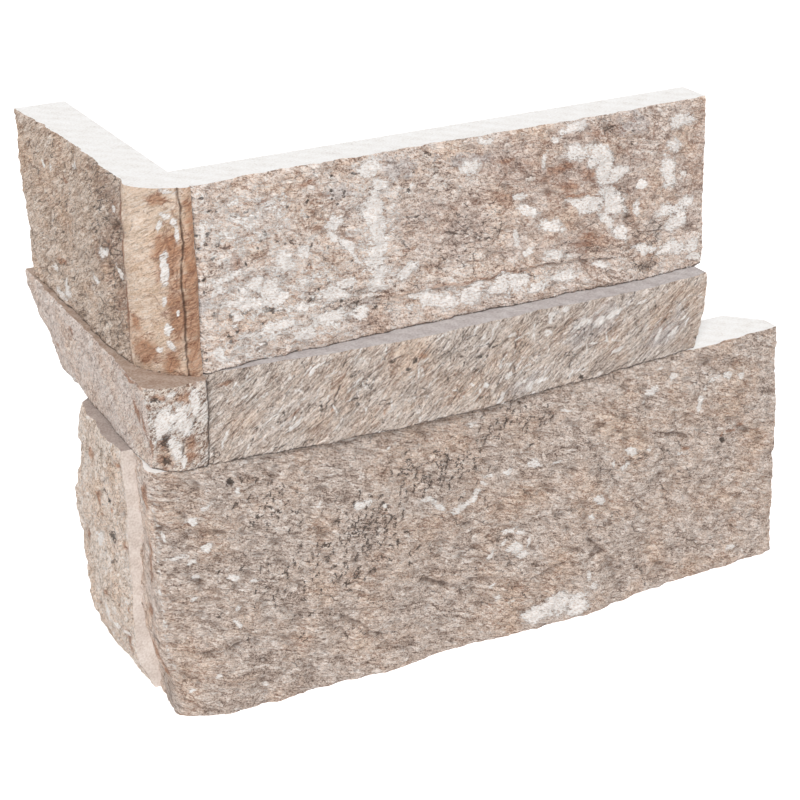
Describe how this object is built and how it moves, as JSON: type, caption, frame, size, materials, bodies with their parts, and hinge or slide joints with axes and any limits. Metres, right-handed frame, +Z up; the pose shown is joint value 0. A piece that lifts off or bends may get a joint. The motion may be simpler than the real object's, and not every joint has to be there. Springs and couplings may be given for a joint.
{
  "type": "stone ledger corner",
  "caption": "L-shaped wall corner of split face stone strips glued in courses, with flat sawn backs, beds and joints and a rough stepped face.",
  "frame": {"origin": "middle of the base of the bounding box", "axes": "+X along the long leg, +Y back along the short leg, +Z up; the split faces look to -Y and -X"},
  "size_m": [0.2081, 0.1046, 0.15],
  "materials": {
    "bottom_long_stone": "split face, with sawn beds, back and joints",
    "bottom_short_stone": "split face, with sawn beds, back and joints",
    "middle_long_stone": "split face, with sawn beds, back and joints",
    "middle_short_stone": "split face, with sawn beds, back and joints",
    "top_long_stone": "split face, with sawn beds, back and joints",
    "top_short_stone": "split face, with sawn beds, back and joints"
  },
  "bodies": {
    "root": {"bottom_long_stone": "bottom_long_stone", "bottom_short_stone": "bottom_short_stone", "middle_long_stone": "middle_long_stone", "middle_short_stone": "middle_short_stone", "top_long_stone": "top_long_stone", "top_short_stone": "top_short_stone"}
  },
  "joints": []
}
